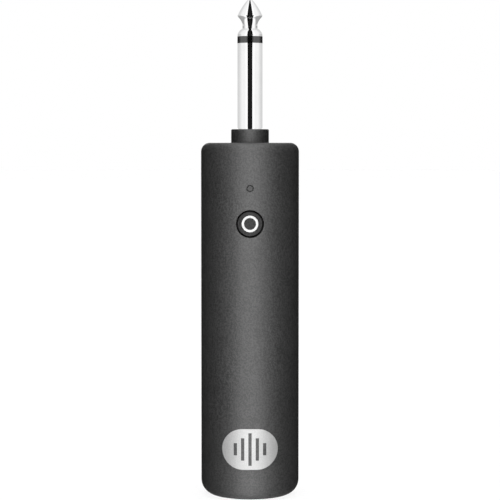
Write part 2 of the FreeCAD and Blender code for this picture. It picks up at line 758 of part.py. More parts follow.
def switch_case():
    """The push switch's square case with its round chamber."""
    label = "switch_case"
    low, high = f"{BUTTON} - switch_half", f"{BUTTON} + switch_half"
    case = box(label, ("-switch_half", "switch_half"), ("-switch_top", "-board_front"), (low, high))
    chamber = rod(label, "chamber_radius", ("-switch_top + 0.3", "-chamber_floor"), (0, BUTTON), "y")
    mouth = rod(label, "plunger_radius + slip", ("-switch_top - 1", "-chamber_floor"), (0, BUTTON), "y")
    return named(cut(label, case, chamber, mouth), label)


def switch_plunger():
    """The switch's plunger, which the button bears on."""
    label = "switch_plunger"
    stem = rod(label, "plunger_radius", ("-press_face", "-plunger_foot"), (0, BUTTON), "y")
    foot = ("-plunger_foot - 0.32", "-plunger_foot")
    return named(fuse(label, stem, rod(label, "chamber_radius - 0.2", foot, (0, BUTTON), "y")), label)


def switch_dome():
    """The snap dome that clicks and pushes the plunger back."""
    label = "switch_dome"
    ball = value("(dome_radius^2 + dome_rise^2) / (2 * dome_rise)")
    outer = "((dome_radius^2 + dome_rise^2) / (2 * dome_rise))"
    outline = [
        ("dome_radius", 0, outer, "left"),
        (0, "dome_rise"),
        (0, "dome_rise - dome_sheet", f"{outer} - dome_sheet", "right"),
        (math.sqrt((ball - value("dome_sheet")) ** 2 - (ball - value("dome_rise")) ** 2), 0),
    ]
    return named(place(lathe(label, outline), y="-chamber_floor", z=BUTTON, turn=OUTWARD), label)


def switch_legs():
    """Four soldered legs of the switch."""
    label = "switch_legs"
    legs = []
    for side in (1, -1):
        for step in (1, -1):
            across = sorted((side * 2.25, side * 3.1))
            height = (f"{BUTTON} + ({step}) * 1.5 - 0.35", f"{BUTTON} + ({step}) * 1.5 + 0.35")
            legs.append(box(label, across, ("-board_front - 0.25", "-board_front"), height))
    return named(group(label, legs), label)


# ------------------------------------------------------------------------------------------- lamp
def light_pipe():
    """The clear pipe that carries the lamp's light to the skin."""
    label = "light_pipe"
    inner = "(body_radius - wall)"
    steps = [
        rod(label, "lamp_radius", ("-body_radius + 0.02", f"-{inner}"), (0, LAMP), "y"),
        rod(label, "pipe_flange", (f"-{inner} + 0.1", f"-{inner} + 0.6"), (0, LAMP), "y"),
        rod(label, "pipe_radius", (f"-{inner} + 0.1", "-pipe_end"), (0, LAMP), "y"),
        rod(label, "lamp_radius", (f"-{inner}", f"-{inner} + 0.3"), (0, LAMP), "y"),
    ]
    return named(fuse(label, *steps), label)


def status_lamp():
    """The light-emitting diode on the board."""
    label = "status_lamp"
    base = box(label, (-0.8, 0.8), ("-board_front - 0.3", "-board_front"), (f"{LAMP} - 0.4", f"{LAMP} + 0.4"))
    lens = box(
        label, (-0.5, 0.5), ("-board_front - 0.7", "-board_front - 0.3"), (f"{LAMP} - 0.38", f"{LAMP} + 0.38")
    )
    return named(fuse(label, base, lens), label)


# ----------------------------------------------------------------------------------------- boards
def main_board():
    """The long board behind the button, with holes for the two screws."""
    label = "main_board"
    blank = box(
        label, ("-board_half", "board_half"), ("-board_front", "-board_back"), ("board_foot", "board_head")
    )
    holes = [
        rod(label, "screw_radius + 0.2", ("-board_front - 1", "-board_back + 1"), (0, height), "y")
        for height in ("upper_post", "lower_post")
    ]
    return named(cut(label, blank, *holes), label)


def charge_board():
    """The round board that carries the charging socket."""
    return named(rod("charge_board", "dock_radius", ("dock_foot", "dock_head")), "charge_board")


def board_link():
    """The plastic strip of the link between the boards."""
    label = "board_link"
    return named(box(label, (3.1, 7.3), (-5.4, -3.8), ("dock_head", "dock_head + 1.2")), label)


def link_pins():
    """Four bent pins from the charging board to the main board."""
    label = "link_pins"
    pins = []
    for across in (3.6, 4.6, 5.6, 6.6):
        wide = (across - 0.2, across + 0.2)
        up = box(label, wide, (-4.8, -4.4), ("dock_head + 1.2", "dock_head + 2.6"))
        over = box(label, wide, ("-board_back", -4.4), ("dock_head + 2.2", "dock_head + 2.6"))
        pins.append(fuse(label, up, over))
    return named(group(label, pins), label)


def shield_can():
    """The tin lid over the radio, open towards the board."""
    label = "shield_can"
    lid = box(label, (-5.5, 5.5), ("-board_front - 1.6", "-board_front"), (42, 56))
    hollow = box(label, (-5.3, 5.3), ("-board_front - 1.4", "-board_front + 1"), (42.2, 55.8))
    vents = [
        rod(label, 0.4, ("-board_front - 2", "-board_front - 1"), (across, height), "y")
        for across in (-3, -1, 1, 3) for height in (45, 53)
    ]
    return named(cut(label, lid, hollow, *vents), label)


def chip(label, width, height, thickness, middle, across=0):
    """A flat chip on the front of the main board."""
    wide = (across - width / 2, across + width / 2)
    tall = (middle - height / 2, middle + height / 2)
    block = box(label, wide, (f"-board_front - {thickness}", "-board_front"), tall)
    return named(block, label)


def small_chips(label, width, height, thickness, places):
    """Many equal small components on the front of the main board."""
    blocks = [
        box(
            label,
            (across - width / 2, across + width / 2),
            (f"-board_front - {thickness}", "-board_front"),
            (middle - height / 2, middle + height / 2),
        )
        for across, middle in places
    ]
    return named(group(label, blocks), label)


# ------------------------------------------------------------------------------- charging socket
def port_tube(label, shrink, low, high):
    outline = slot_outline(f"port_width - 2 * ({shrink})", f"port_height - 2 * ({shrink})")
    return place(pad(label, "XY_Plane", outline, f"({high}) - ({low})"), z=low)


def port_shell():
    """The drawn metal tube of the charging socket."""
    label = "port_shell"
    blank = port_tube(label, 0, "port_mouth", "dock_foot")
    return named(cut(label, blank, port_tube(label, "port_sheet", "port_mouth - 1", "dock_foot + 1")), label)


def port_core():
    """The socket's plastic block with its tongue."""
    label = "port_core"
    block = port_tube(label, "port_sheet + 0.02", "dock_foot - 2", "dock_foot")
    tongue = box(label, (-3.35, 3.35), (-0.35, 0.35), ("port_mouth + 0.9", "dock_foot - 1"))
    step = box(label, (-3.5, 3.5), (-0.65, 0.65), ("dock_foot - 3.6", "dock_foot - 1"))
    return named(fuse(label, block, tongue, step), label)


def port_contacts():
    """Twelve gilt contacts on each side of the tongue."""
    label = "port_contacts"
    strips = []
    for side in (1, -1):
        for step in range(12):
            middle = (step - 5.5) * 0.5
            strips.append(
                box(
                    label, (middle - 0.13, middle + 0.13), sorted((side * 0.35, side * 0.4)),
                    ("port_mouth + 1.3", "dock_foot - 3.6"),
                )
            )
    return named(group(label, strips), label)


# ------------------------------------------------------------------------------------------- cell
def battery_cell():
    """The lithium cell: a can crimped over a cap with a raised button, and the roll inside it."""
    can = [
        (0, "cell_foot"),
        ("cell_radius - 0.5", "cell_foot"),
        ("cell_radius", "cell_foot + 0.5"),
        ("cell_radius", "cell_head - 3.4"),
        ("cell_radius - 0.45", "cell_head - 3.0"),
        ("cell_radius - 0.45", "cell_head - 2.4"),
        ("cell_radius", "cell_head - 2.0"),
        ("cell_radius", "cell_head - 0.4"),
        ("cell_radius - 0.4", "cell_head"),
        ("cell_radius - 1.2", "cell_head"),
        ("cell_radius - 1.2", "cell_head - 0.25"),
        ("cell_radius - 0.25", "cell_head - 0.5"),
        ("cell_radius - 0.25", "cell_head - 1.9"),
        ("cell_radius - 0.7", "cell_head - 2.3"),
        ("cell_radius - 0.7", "cell_head - 3.1"),
        ("cell_radius - 0.25", "cell_head - 3.5"),
        ("cell_radius - 0.25", "cell_foot + 0.6"),
        ("cell_radius - 0.6", "cell_foot + 0.25"),
        (0, "cell_foot + 0.25"),
    ]
    cap = [
        (0, "cell_head - 1.8"),
        ("cell_radius - 0.4", "cell_head - 1.8"),
        ("cell_radius - 0.4", "cell_head - 0.6"),
        (2.9, "cell_head - 0.6"),
        (2.6, "cell_head + cell_button"),
        (0, "cell_head + cell_button"),
    ]
    for label, outline in (("battery_can", can), ("battery_cap", cap)):
        named(place(lathe(label, outline), y="cell_offset"), label)
    label = "battery_roll"
    span = ("cell_foot + 0.8", "cell_head - 3.7")
    named(rod(label, "cell_radius - 0.3", span, (0, "cell_offset")), label)


def battery_sleeve():
    """The shrunk plastic sleeve round the cell."""
    label = "battery_sleeve"
    span = ("cell_foot + 0.6", "cell_head - 0.5")
    outer = "cell_radius + cell_wrap"
    return named(tube(label, outer, "cell_radius", span, (0, "cell_offset")), label)


def cell_washer():
    """The insulating ring round the positive button."""
    label = "cell_washer"
    span = ("cell_head", "cell_head + 0.25")
    return named(tube(label, 6.2, 3.0, span, (0, "cell_offset")), label)


def cell_tabs():
    """The welded nickel strips at the two ends of the cell."""
    deep = ("cell_offset - 1", "cell_offset + 1")
    high = f"cell_head + cell_button"
    top = box("positive_tab", (-1.6, 1.6), deep, (high, f"{high} + tab_thickness"))
    foot = box("negative_tab", (-4.6, 1.6), deep, ("cell_foot - tab_thickness", "cell_foot"))
    return named(top, "positive_tab"), named(foot, "negative_tab")


def foam_pads():
    """Foam between the board and the cell, and between the cell and the rear shell."""
    cell = "cell_radius + cell_wrap + 0.02"
    spans = {"front_pad": (-4.5, 4.5, "-board_back + 0.02", -1, 28, 52),
             "rear_pad": (-4.5, 4.5, 8, "body_radius", 42, 56)}
    for label, (left, right, near, far, low, high) in spans.items():
        block = box(label, (left, right), (near, far), (low, high))
        block = common(label, block, rod(label, f"{INSIDE} - 0.02", (0, "body_length")))
        named(cut(label, block, rod(label, cell, (0, "body_length"), (0, "cell_offset"))), label)


def battery_socket():
    """The white board connector for the cell."""
    label = "battery_socket"
    block = box(label, (-2.5, 2.5), ("-board_back", "-board_back + 2.6"), (67.2, 70.4))
    hollow = box(label, (-1.9, 1.9), ("-board_back + 1", "-board_back + 3"), (67.8, 69.8))
    return named(cut(label, block, hollow), label)


def battery_plug():
    label = "battery_plug"
    block = box(label, (-1.85, 1.85), ("-board_back + 1", "-board_back + 4"), (67.85, 69.75))
    return named(block, label)


def swept_lead(label, route):
    """A round lead along straight runs joined by tangent arcs.  Each arc is as large as its shorter
    run allows: its tangent length is 0.45 of that run."""
    stops = [FreeCAD.Vector(*p) for p in route]
    edges, at = [], stops[0]
    for before, corner, after in zip(stops, stops[1:], stops[2:]):
        back, ahead = (before - corner), (after - corner)
        reach = 0.45 * min(back.Length, ahead.Length)
        back, ahead = back.normalize(), ahead.normalize()
        start, end = corner + back * reach, corner + ahead * reach
        half = back.getAngle(ahead) / 2
        radius = reach * math.tan(half)
        bisector = (back + ahead).normalize()
        middle = corner + bisector * (reach / math.cos(half) - radius)
        edges.append(Part.LineSegment(at, start).toShape())
        edges.append(Part.Arc(start, middle, end).toShape())
        at = end
    edges.append(Part.LineSegment(at, stops[-1]).toShape())
    path = Part.Wire(edges)
    ring = Part.Circle(stops[0], stops[1] - stops[0], value("lead_radius"))
    shape = path.makePipeShell([Part.Wire([ring.toShape()])], True, True)
    full = math.pi * value("lead_radius") ** 2 * path.Length
    if abs(shape.Volume - full) > 0.02 * full:
        raise ValueError(f"{label}: swept {shape.Volume:.2f} mm3 where {full:.2f} was meant")
    print(f"{label}: {path.Length:.1f} mm long")
    item = doc.addObject("Part::Feature", label)
    item.Shape = shape
    return named(item, label)


def battery_leads():
    """The cell's two leads, from the plug to the tabs."""
    plug_end, level = -value("board_back") + 4, 68.8
    back = value("cell_offset")
    top = value("cell_head + cell_button + tab_thickness")
    foot = value("cell_foot - tab_thickness")
    swept_lead("red_lead", [
        (0.7, plug_end, level), (0.7, 1.2, level), (0.7, back, level - 0.6), (0.7, back, top),
    ])
    swept_lead("black_lead", [
        (-0.7, plug_end, level), (-0.7, 1.4, level), (-4.0, 2.2, level), (-7.6, 1.0, level - 1.4),
        (-8.1, -1.2, level - 6), (-8.1, -1.2, foot + 5), (-7.6, -0.6, foot + 0.6),
        (-5.6, 1.2, foot - 1.8), (-3.85, back, foot - 2), (-3.85, back, foot),
    ])


# -------------------------------------------------------------------------------------- the whole
def build():
    front_shell()
    rear_shell()
    housing_screws()
    badge()
    plug_bush()
    plug_sleeve()
    tip_insulator()
    inner_insulator()
    plug_tip()
    rear_insulator()
    sleeve_lug()
    tip_lug()
    rod_nut()
    button_cap()
    button_ring()
    switch_case()
    switch_plunger()
    switch_dome()
    switch_legs()
    light_pipe()
    status_lamp()
    main_board()
    charge_board()
    board_link()
    link_pins()
    shield_can()
    chip("radio_chip", 6, 6, 0.9, 49)
    chip("crystal", 3.2, 2.5, 0.7, 53.9)
    chip("converter_chip", 5, 5, 0.9, 62)
    chip("charger_chip", 3, 3, 0.8, 27)
    chip("power_inductor", 3, 3, 1.4, 33, 3.6)
    chip("antenna", 7, 2, 1.2, 19)
    small_chips("capacitors", 0.8, 1.6, 0.8, [
        (side * across, height) for height in (24, 29, 33, 37) for across in (2.6, 5.2) for side in (-1, 1)
        if (side * across, height) not in ((2.6, 33), (5.2, 33))
    ])
    small_chips("resistors", 0.5, 1.0, 0.35, [
        (side * across, height)
        for height in (58.4, 60, 61.6, 63.2) for across in (3.6, 4.8) for side in (-1, 1)
    ])
    port_shell()
    port_core()
    port_contacts()
    battery_cell()
    battery_sleeve()
    cell_washer()
    cell_tabs()
    foam_pads()
    battery_socket()
    battery_plug()
    battery_leads()


def check_and_write():
    """Stops on any failed object, empty cut or bad sub-part, and then writes one file for each."""
    doc.recompute()
    for item in doc.Objects:
        if {"Invalid", "Error"} & set(item.State):
            raise ValueError(f"{item.Label} is {item.State}")
        if item.TypeId == "Part::Cut" and item.Shape.Volume > item.Base.Shape.Volume - 1e-6:
            raise ValueError(f"{item.Label}: the cut takes nothing away")
    os.makedirs("parts", exist_ok=True)
    for item in parts:
        shape = item.Shape
        if shape.isNull() or not shape.isValid() or not shape.Solids:
            raise ValueError(f"{item.Label} has no valid solid")
        shape.exportStep(os.path.join("parts", item.Label + ".step"))
        print(f"{item.Label:18s} {len(shape.Solids):3d} solids {shape.Volume:10.3f} mm3")


build()
check_and_write()
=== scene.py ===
"""The looks of the wireless guitar transmitter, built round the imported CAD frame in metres."""

import json
import math

import bpy
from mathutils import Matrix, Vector


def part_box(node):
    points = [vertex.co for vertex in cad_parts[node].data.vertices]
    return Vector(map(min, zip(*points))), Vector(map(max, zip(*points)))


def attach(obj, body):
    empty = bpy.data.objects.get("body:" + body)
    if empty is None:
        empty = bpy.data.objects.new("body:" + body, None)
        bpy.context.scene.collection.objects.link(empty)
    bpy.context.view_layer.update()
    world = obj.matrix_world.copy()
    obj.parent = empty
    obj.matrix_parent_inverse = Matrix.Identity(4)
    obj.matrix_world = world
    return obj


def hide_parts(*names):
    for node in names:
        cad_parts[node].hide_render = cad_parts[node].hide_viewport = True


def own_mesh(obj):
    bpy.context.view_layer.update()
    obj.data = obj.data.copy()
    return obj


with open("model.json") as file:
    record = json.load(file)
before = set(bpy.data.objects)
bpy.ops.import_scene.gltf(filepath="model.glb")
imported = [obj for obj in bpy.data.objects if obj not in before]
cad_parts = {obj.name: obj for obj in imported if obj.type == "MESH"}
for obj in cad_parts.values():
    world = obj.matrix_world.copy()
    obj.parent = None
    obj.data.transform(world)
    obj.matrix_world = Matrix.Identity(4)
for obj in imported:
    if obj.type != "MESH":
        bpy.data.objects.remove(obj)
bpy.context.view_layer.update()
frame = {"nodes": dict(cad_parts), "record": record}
nodes = frame["nodes"]

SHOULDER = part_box("front_shell")[1].z  # the height of the housing's top


# ---------------------------------------------------------------------------------------- shaders
def rgba(grey_or_rgb):
    rgb = (grey_or_rgb,) * 3 if isinstance(grey_or_rgb, (int, float)) else grey_or_rgb
    return (*rgb, 1.0)


class Graph:
    """A material's node tree, with short ways to add and join nodes."""

    def __init__(self, name):
        self.name = name
        self.material = bpy.data.materials.new(name)
        self.material.use_nodes = True
        self.tree = self.material.node_tree
        self.shader = self.tree.nodes["Principled BSDF"]
        self.output = self.tree.nodes["Material Output"]
        self.coordinates = self.add("ShaderNodeTexCoord").outputs
        self.place = self.coordinates["Object"]

    def add(self, kind, **settings):
        node = self.tree.nodes.new(kind)
        for key, setting in settings.items():
            setattr(node, key, setting)
        return node

    def join(self, source, target):
        self.tree.links.new(source, target)

    def split(self, vector):
        """A vector's x, y and z."""
        node = self.add("ShaderNodeSeparateXYZ")
        self.join(vector, node.inputs["Vector"])
        return node.outputs

    def stretched(self, scale):
        """The object's coordinates, scaled along each axis."""
        mapping = self.add("ShaderNodeMapping")
        mapping.inputs["Scale"].default_value = scale
        self.join(self.place, mapping.inputs["Vector"])
        return mapping.outputs["Vector"]

    def noise(self, scale, detail=4.0, rough=0.6, stretch=None):
        """Noise whose features are about 1 / scale metres across."""
        node = self.add("ShaderNodeTexNoise")
        node.inputs["Scale"].default_value = scale
        node.inputs["Detail"].default_value = detail
        node.inputs["Roughness"].default_value = rough
        self.join(self.stretched(stretch) if stretch else self.place, node.inputs["Vector"])
        return node.outputs["Fac"]

    def ranged(self, source, low, high, low_in=0.3, high_in=0.7):
        """What goes from low to high, and no further, as the source goes from low_in to high_in."""
        node = self.add("ShaderNodeMapRange")
        for socket, number in zip(("From Min", "From Max", "To Min", "To Max"), (low_in, high_in, low, high)):
            node.inputs[socket].default_value = number
        self.join(source, node.inputs["Value"])
        return node.outputs["Result"]

    def maths(self, operation, first, second=None):
        """One operation on one or two terms, each a socket or a number."""
        node = self.add("ShaderNodeMath", operation=operation)
        for socket, source in zip(node.inputs, (first, second)):
            if isinstance(source, bpy.types.NodeSocket):
                self.join(source, socket)
            elif source is not None:
                socket.default_value = source
        return node.outputs[0]

    def blend(self, factor, first, second):
        """A mix of two colours, each a grey or an RGB."""
        node = self.add("ShaderNodeMix", data_type="RGBA")
        first_colour, second_colour = [socket for socket in node.inputs if socket.type == "RGBA"]
        first_colour.default_value = rgba(first)
        second_colour.default_value = rgba(second)
        self.join(factor, node.inputs["Factor"])
        return next(socket for socket in node.outputs if socket.type == "RGBA")

    def bump(self, height, distance):
        node = self.add("ShaderNodeBump")
        node.inputs["Distance"].default_value = distance
        self.join(height, node.inputs["Height"])
        return node.outputs["Normal"]

    def dress(self, colour, roughness, normal=None, **constants):
        """Joins up the shader and sets its plain numbers.  Returns the name and the material, in
        a pair, because Blender adds a number to the name of a second material so called."""
        for name, source in (("Base Color", colour), ("Roughness", roughness), ("Normal", normal)):
            if source is not None:
                self.join(source, self.shader.inputs[name])
        for name, number in constants.items():
            self.shader.inputs[name].default_value = number
        return self.name, self.material


GRAIN_CONTRAST = (0.44, 0.56)  # the part of the grain's noise that its colours spread over


def moulded(name, dark, light, rough, grain=3800.0, depth=6e-6, **constants):
    """Moulded plastic: mottled colour, spark-eroded grain and a roughness that wanders a little."""
    g = Graph(name)
    fine = g.noise(grain, 3.0, 0.65)
    broad = g.noise(160.0, 5.0)
    colour = g.blend(g.ranged(fine, 0, 1, *GRAIN_CONTRAST), dark, light)
    return g.dress(colour, g.ranged(broad, rough - 0.03, rough + 0.03), g.bump(fine, depth), **constants)


def button_material():
    """Dull moulded plastic, dead matt on the skirt that lies deep in the button's hole."""
    g = Graph("button_matte")
    front_to_rear = g.split(g.coordinates["Generated"])["Y"]
    fine = g.noise(2400.0, 3.0, 0.65)
    colour = g.blend(g.ranged(fine, 0, 1, *GRAIN_CONTRAST), 0.0005, 0.012)
    return g.dress(colour, g.ranged(front_to_rear, 0.6, 1.0, 0.15, 0.35), g.bump(fine, 2.5e-5), IOR=1.45)


def metal(name, dark, light, rough, stretch=(1, 1, 1)):
    """Plated or drawn metal: faint lines along its working direction, and slight tarnish."""
    g = Graph(name)
    lines = g.noise(2500.0, 4.0, 0.6, stretch)
    cloud = g.noise(220.0, 6.0)
    roughness = g.ranged(lines, rough * 0.8, rough * 1.25)
    return g.dress(g.blend(g.ranged(cloud, 0, 1), dark, light), roughness, g.bump(lines, 4e-7), Metallic=1.0)


def board_material():
    """Solder mask over copper pour, with fine tracks."""
    g = Graph("board_green")
    tracks = g.add("ShaderNodeTexVoronoi", feature="DISTANCE_TO_EDGE")
    tracks.inputs["Scale"].default_value = 700.0
    g.join(g.stretched((1, 0, 1)), tracks.inputs["Vector"])
    edge = g.ranged(tracks.outputs["Distance"], 0, 1, 0.05, 0.09)
    colour = g.blend(edge, (0.05, 0.25, 0.12), (0.015, 0.13, 0.06))
    return g.dress(colour, g.ranged(g.noise(900.0), 0.28, 0.4), g.bump(edge, 1e-5))


def ceramic_material():
    g = Graph("ceramic")
    cloud = g.noise(1500.0)
    colour = g.blend(g.ranged(cloud, 0, 1), (0.42, 0.3, 0.2), (0.55, 0.42, 0.3))
    return g.dress(colour, g.ranged(cloud, 0.35, 0.5), g.bump(cloud, 4e-6))


def foam_material():
    g = Graph("foam_grey")
    cells = g.add("ShaderNodeTexVoronoi")
    cells.inputs["Scale"].default_value = 2600.0
    g.join(g.place, cells.inputs["Vector"])
    open_cell = cells.outputs["Distance"]
    colour = g.blend(g.ranged(open_cell, 0, 1, 0, 0.8), 0.02, 0.08)
    return g.dress(colour, g.ranged(open_cell, 0.8, 0.95), g.bump(open_cell, 8e-5))


MATERIALS = dict((
    moulded("housing_plastic", 0.0005, 0.022, 0.6, grain=2400.0, depth=5e-5, IOR=1.8),
    button_material(),
    moulded("ring_white", 0.56, 0.62, 0.35, grain=1500.0, depth=1e-6),
    moulded("badge_metal", 0.42, 0.48, 0.58, grain=5000.0, depth=2e-6, Metallic=0.65),
    metal("plug_nickel", 0.84, 0.9, 0.06, stretch=(0.3, 0.3, 6)),
    moulded("band_black", 0.004, 0.006, 0.1, grain=2500.0, depth=5e-7, IOR=1.9),
    metal("brass_lugs", (0.62, 0.46, 0.24), (0.78, 0.62, 0.36), 0.3),
    metal("screw_steel", 0.10, 0.16, 0.35),
    metal("sheet_steel", 0.5, 0.62, 0.3, stretch=(1, 1, 0.1)),
    metal("cell_foils", (0.3, 0.26, 0.24), (0.4, 0.36, 0.33), 0.4, stretch=(1, 1, 8)),
    moulded("cell_sleeve", (0.02, 0.07, 0.25), (0.03, 0.09, 0.32), 0.3),
    moulded("card_white", 0.6, 0.75, 0.85, grain=2000.0, depth=2e-5),
    board_material(),
    moulded("black_moulding", 0.012, 0.02, 0.45),
    metal("gilt", (0.75, 0.5, 0.2), (0.9, 0.65, 0.3), 0.2),
    ceramic_material(),
    moulded("ceramic_white", 0.6, 0.7, 0.5),
    moulded("lamp_clear", 0.02, 0.03, 0.5, grain=2500.0, depth=1e-6),
    moulded("lamp_white", 0.6, 0.7, 0.3),
    moulded("connector_white", 0.6, 0.68, 0.5),
    foam_material(),
    moulded("lead_red", (0.35, 0.01, 0.01), (0.45, 0.02, 0.015), 0.45),
    moulded("lead_black", 0.01, 0.016, 0.45),
))

for entry in frame["record"]["subparts"]:
    piece = nodes[entry["node"]]
    piece.data.materials.clear()
    piece.data.materials.append(MATERIALS[entry["material_slot"]])


# ----------------------------------------------------------------------------------------- meshes
def add_object(name, data):
    item = bpy.data.objects.new(name, data)
    bpy.context.scene.collection.objects.link(item)
    return item


def whole_turn(steps):
    """Angles spread evenly round a circle."""
    return [2 * math.pi * i / steps for i in range(steps)]


def ring_mesh(name, rings, closed_ends=False):
    """A skin over a row of rings, each a closed loop of as many points."""
    around = len(rings[0])
    faces = []
    for start in range(0, around * (len(rings) - 1), around):
        for i in range(around):
            following = (i + 1) % around
            faces.append((start + i, start + following, start + around + following, start + around + i))
    if closed_ends:
        last = (len(rings) - 1) * around
        faces += [tuple(range(around))[::-1], tuple(range(last, last + around))]
    mesh = bpy.data.meshes.new(name)
    mesh.from_pydata([point for ring in rings for point in ring], [], faces)
    return mesh


DOME_SHEET = 8e-5  # thickness


def make_snap_dome():
    """The thin steel dome under the plunger, fixed to the housing.  The real dome flattens as the button goes
    in; this mesh keeps its shape.
    """
    low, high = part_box("switch_dome")
    rise = high.y - low.y
    rim = (high.x - low.x) / 2
    outer = (rim ** 2 + rise ** 2) / (2 * rise)
    inner = outer - DOME_SHEET
    middle = Vector((0, low.y + outer, (low.z + high.z) / 2))
    steps = 8
    outside = [(outer, math.asin(rim / outer) * k / steps) for k in range(1, steps + 1)]
    inside = [(inner, math.acos((outer - rise) / inner) * k / steps) for k in range(steps, 0, -1)]
    rings = []
    for radius, tilt in outside + inside:
        spread = radius * math.sin(tilt)
        forward = radius * math.cos(tilt)
        rings.append([
            middle + Vector((spread * math.sin(t), -forward, spread * math.cos(t))) for t in whole_turn(48)
        ])
    dome = add_object("snap_dome", ring_mesh("snap_dome", rings, closed_ends=True))
    dome.data.materials.append(MATERIALS["sheet_steel"])
    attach(dome, "housing")
    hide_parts("switch_dome")
    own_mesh(dome)
    return dome


snap_dome = make_snap_dome()


# ----------------------------------------------------------------------------------------- camera
CAMERA_DISTANCE = 0.496
CAMERA_AIM = SHOULDER - 0.0272  # the height that it looks at
VIEW_WIDTH = 0.126817  # what the picture takes in, side to side, at the housing's axis


def aimed(item, place, target):
    item.location = place
    way = Vector(target) - Vector(place)
    item.rotation_euler = way.to_track_quat("-Z", "Y").to_euler()
    return item


def make_camera():
    """A long lens level with the housing's shoulder, looking slightly down."""
    data = bpy.data.cameras.new("camera")
    data.sensor_width = 36.0
    data.lens = data.sensor_width * CAMERA_DISTANCE / VIEW_WIDTH
    data.clip_start = 0.01
    data.clip_end = 20.0
    return aimed(add_object("camera", data), (0, -CAMERA_DISTANCE, SHOULDER), (0, 0, CAMERA_AIM))


bpy.context.scene.camera = make_camera()


# ------------------------------------------------------------------------------------------ floor
def hide_from(item, *rays):
    for ray in rays:
        setattr(item, "visible_" + ray, False)


def floor_material():
    """Matt white paper.  Its underside lets light through, so the foot can be seen from below."""
    g = Graph("floor_paper")
    fibre = g.noise(900.0)
    g.dress(g.blend(g.ranged(fibre, 0, 1), 0.9, 0.93), g.ranged(fibre, 0.9, 1.0))
    clear = g.add("ShaderNodeBsdfTransparent")
    mix = g.add("ShaderNodeMixShader")
    g.join(g.add("ShaderNodeNewGeometry").outputs["Backfacing"], mix.inputs["Fac"])
    g.join(g.shader.outputs["BSDF"], mix.inputs[1])
    g.join(clear.outputs["BSDF"], mix.inputs[2])
    g.join(mix.outputs["Shader"], g.output.inputs["Surface"])
    return g.material


def make_floor():
    """A wide floor just under the foot, which lights nothing."""
    half = 6.0
    mesh = bpy.data.meshes.new("floor")
    corners = [(-half, -half, 0), (half, -half, 0), (half, half, 0), (-half, half, 0)]
    mesh.from_pydata(corners, [], [(0, 1, 2, 3)])
    mesh.materials.append(floor_material())
    item = add_object("floor", mesh)
    item.location.z = -5e-5
    hide_from(item, "diffuse", "glossy", "shadow")
    return item


floor = make_floor()


# ----------------------------------------------------------------------------------------- lights
def receivers(name, items):
    """A collection of the objects that a linked light falls on."""
    collection = bpy.data.collections.new(name)
    for item in items:
        collection.objects.link(item)
    return collection


metal_nodes = [nodes["plug_sleeve"], nodes["plug_tip"]]
insulator = nodes["tip_insulator"]
dull_nodes = [node for node in nodes.values() if node not in (*metal_nodes, insulator)]
on_floor = receivers("on_floor", [floor])
on_housing = receivers("on_housing", dull_nodes + [snap_dome])
on_metal = receivers("on_metal", metal_nodes)
on_insulator = receivers("on_insulator", [insulator])

MIDDLE = Vector((0, 0, 0.06))  # about half way up the transmitter


def softbox(name, place, size, power):
    """A soft rectangular light on the housing, aimed at its middle."""
    data = bpy.data.lights.new(name, "AREA")
    data.shape = "RECTANGLE"
    data.size, data.size_y = size
    data.energy = power
    item = aimed(add_object(name, data), place, MIDDLE)
    item.visible_camera = False
    item.light_linking.receiver_collection = on_housing
    return item


def skylight(name, strength, degrees, shadow):
    """Even light on the floor from straight above, as from a disc of sky this wide."""
    data = bpy.data.lights.new(name, "SUN")
    data.energy = strength
    data.angle = math.radians(degrees)
    data.use_shadow = shadow
    add_object(name, data).light_linking.receiver_collection = on_floor


def lit_mesh(name, rings, group, level, strength=1.0):
    """A skin over rings of points that lights only one group of objects, and that rays pass
    through.  level(graph) gives a socket that says how bright it is from place to place."""
    item = add_object(name, ring_mesh(name, rings))
    g = Graph(name + "_cloth")
    glow = g.add("ShaderNodeEmission")
    glow.inputs["Strength"].default_value = strength
    g.join(level(g), glow.inputs["Color"])
    clear = g.add("ShaderNodeBsdfTransparent")
    both = g.add("ShaderNodeAddShader")
    g.join(glow.outputs["Emission"], both.inputs[0])
    g.join(clear.outputs["BSDF"], both.inputs[1])
    g.join(both.outputs["Shader"], g.output.inputs["Surface"])
    item.data.materials.append(g.material)
    hide_from(item, "camera", "transmission", "shadow")
    item.light_linking.receiver_collection = group
    return item


HOOP_RADIUS = 1.0
HOOP_WIDTH = 1.1  # in front
HOOP_REAR_WIDTH = 0.3
HOOP_GLOW = 2.95
HOOP_ENDS = 1.5  # the light of its top and foot against its front
HOOP_DIM = 0.2  # the same behind them
HOOP_REAR = 0.75  # the same straight behind the housing


def hoop():
    """One long strip light round the housing, from over its head to under its foot, front and rear.
    It gives the housing a highlight down its whole length, with dark flanks.  It is widest in
    front, and dim behind the housing's head and foot."""

    def edge(side):
        """The strip's edge at one side, as points that go once round the hoop."""
        points = []
        for t in whole_turn(72):
            frontness = max(0, -math.cos(t)) ** 2
            width = HOOP_REAR_WIDTH + (HOOP_WIDTH - HOOP_REAR_WIDTH) * frontness
            points.append((side * width / 2, HOOP_RADIUS * math.cos(t), MIDDLE.z + HOOP_RADIUS * math.sin(t)))
        return points

    def level(g):
        _, depth, height = g.split(g.place)
        off_middle = g.maths("ABSOLUTE", g.maths("SUBTRACT", height, MIDDLE.z))
        ends = g.ranged(off_middle, 1.0, HOOP_ENDS, 0.35 * HOOP_RADIUS, 0.75 * HOOP_RADIUS)
        front = g.ranged(depth, 1.0, HOOP_DIM, -0.1 * HOOP_RADIUS, 0.3 * HOOP_RADIUS)
        rear = g.ranged(depth, HOOP_DIM, HOOP_REAR, 0.8 * HOOP_RADIUS, 0.95 * HOOP_RADIUS)
        return g.maths("MULTIPLY", ends, g.maths("MAXIMUM", front, rear))

    lit_mesh("hoop", [edge(-1), edge(1)], on_housing, level, HOOP_GLOW)


